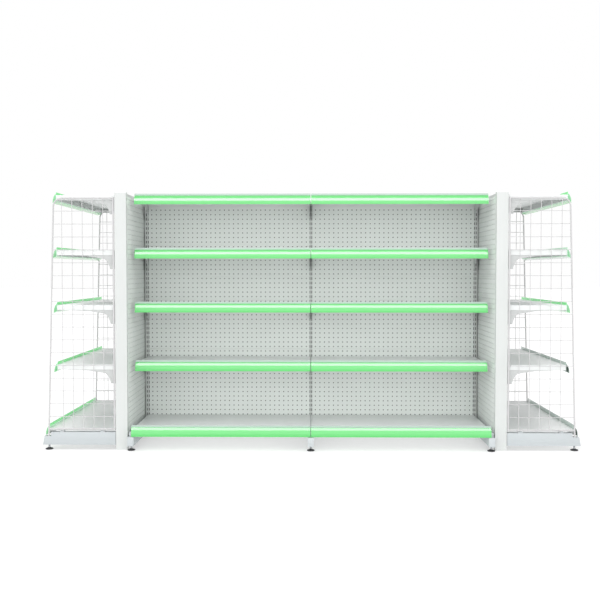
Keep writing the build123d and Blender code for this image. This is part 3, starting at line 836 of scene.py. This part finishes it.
# --- levelling feet -----------------------------------------------------------------------------
def stud(low, high):
    """Threaded stud: a helical ridge and a chamfered end."""
    sides, per_turn = 24, 5
    rings = int((high - low) / THREAD_PITCH * per_turn)
    verts, faces = [], []
    for j in range(rings + 1):
        z = low + (high - low) * j / rings
        end = min(1.0, 0.55 + (high - z) / 2.0)
        for k in range(sides):
            t = 2 * math.pi * k / sides
            phase = (z / THREAD_PITCH - k / sides) % 1.0
            r = (STUD_RADIUS - THREAD_DEPTH * abs(2 * phase - 1)) * end
            verts.append((r * math.cos(t), r * math.sin(t), z))
    for j in range(rings):
        under, over = j * sides, (j + 1) * sides
        for k in range(sides):
            after = (k + 1) % sides
            faces.append([under + k, under + after, over + after, over + k])
    top = rings * sides
    return verts, faces + [list(range(sides))[::-1], list(range(top, top + sides))]


pad_mesh = make_mesh("foot_pad", lathe(PAD_PROFILE), [FOOT_BLACK], sharp=50)
stud_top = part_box("foot_front_middle")[1].z / MM
stud_mesh = make_mesh("foot_stud", stud(STUD_FOOT, stud_top), [STUD_ZINC], sharp=50)
for foot in [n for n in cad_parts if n.startswith("foot_")]:
    spot = centre(foot)
    stand = Matrix.Translation((spot.x, spot.y, 0))
    piece(f"{foot}_pad", pad_mesh, stand, foot, "foot_black_plastic", foot)
    piece(f"{foot}_stud", stud_mesh, stand, foot, "stud_zinc_steel")


# --- floor, light and camera --------------------------------------------------------------------
floor_mesh = bpy.data.meshes.new("studio_floor")
reach = 40.0
floor_mesh.from_pydata([(-reach, -reach, 0), (reach, -reach, 0), (reach, reach, 0), (-reach, reach, 0)], [],
                       [[0, 1, 2, 3]])
floor_mesh.materials.append(floor_finish("studio_floor", (0.60, 0.60, 0.60), 0.75))
floor = bpy.data.objects.new("studio_floor", floor_mesh)
floor.location.z = -0.0005
bpy.context.scene.collection.objects.link(floor)

world = bpy.data.worlds.new("studio")
bpy.context.scene.world = world
world.use_nodes = True
sky = world.node_tree.nodes["Background"]
sky.inputs["Color"].default_value = (1.0, 1.0, 1.0, 1.0)
path = world.node_tree.nodes.new("ShaderNodeLightPath")
level = world.node_tree.nodes.new("ShaderNodeMapRange")
level.inputs["To Min"].default_value = 0.62     # the light it gives
level.inputs["To Max"].default_value = 1.0      # what the camera sees
world.node_tree.links.new(path.outputs["Is Camera Ray"], level.inputs["Value"])
world.node_tree.links.new(level.outputs["Result"], sky.inputs["Strength"])


def aimed(name, light, place, aim=(0, 0, 0.7)):
    obj = bpy.data.objects.new(name, light)
    obj.location = place
    obj.rotation_euler = (Vector(aim) - Vector(place)).to_track_quat("-Z", "Y").to_euler()
    bpy.context.scene.collection.objects.link(obj)
    return obj


def soft_sun(name, place, spread, strength):
    """Even light over the whole floor, from the side that place is on."""
    light = bpy.data.lights.new(name, "SUN")
    light.angle = math.radians(spread)
    light.energy = strength
    return aimed(name, light, place)


def card(name, place, size, watts):
    """A strip of light that shows in gloss and lights nothing else."""
    light = bpy.data.lights.new(name, "AREA")
    light.shape = "RECTANGLE"
    light.size, light.size_y = size
    light.energy = watts
    aimed(name, light, place).visible_diffuse = False


soft_sun("overhead", (-0.6, -1.6, 5.0), 70, 0.75)
soft_sun("frontal", (-0.4, -5.0, 1.7), 60, 1.2)
soft_sun("left_side", (-5.0, -2.5, 2.8), 50, 0.65)
soft_sun("right_side", (5.0, -2.5, 2.8), 50, 0.6)
card("front_card", (0.0, -3.4, 3.5), (6.5, 1.7), 260)
card("rear_card", (0.0, 3.4, 3.5), (6.5, 1.7), 200)

lens = bpy.data.cameras.new("camera")
lens.sensor_width = 36.0
lens.lens = 50.12
lens.clip_end = 100.0
camera = bpy.data.objects.new("camera", lens)
camera.location = (0.0035, -4.626, 0.896)
camera.rotation_euler = (math.radians(90 - 1.95), 0, math.radians(0.79))     # 1.95 degrees down
bpy.context.scene.collection.objects.link(camera)
bpy.context.scene.camera = camera
bpy.context.scene.view_settings.view_transform = "Standard"
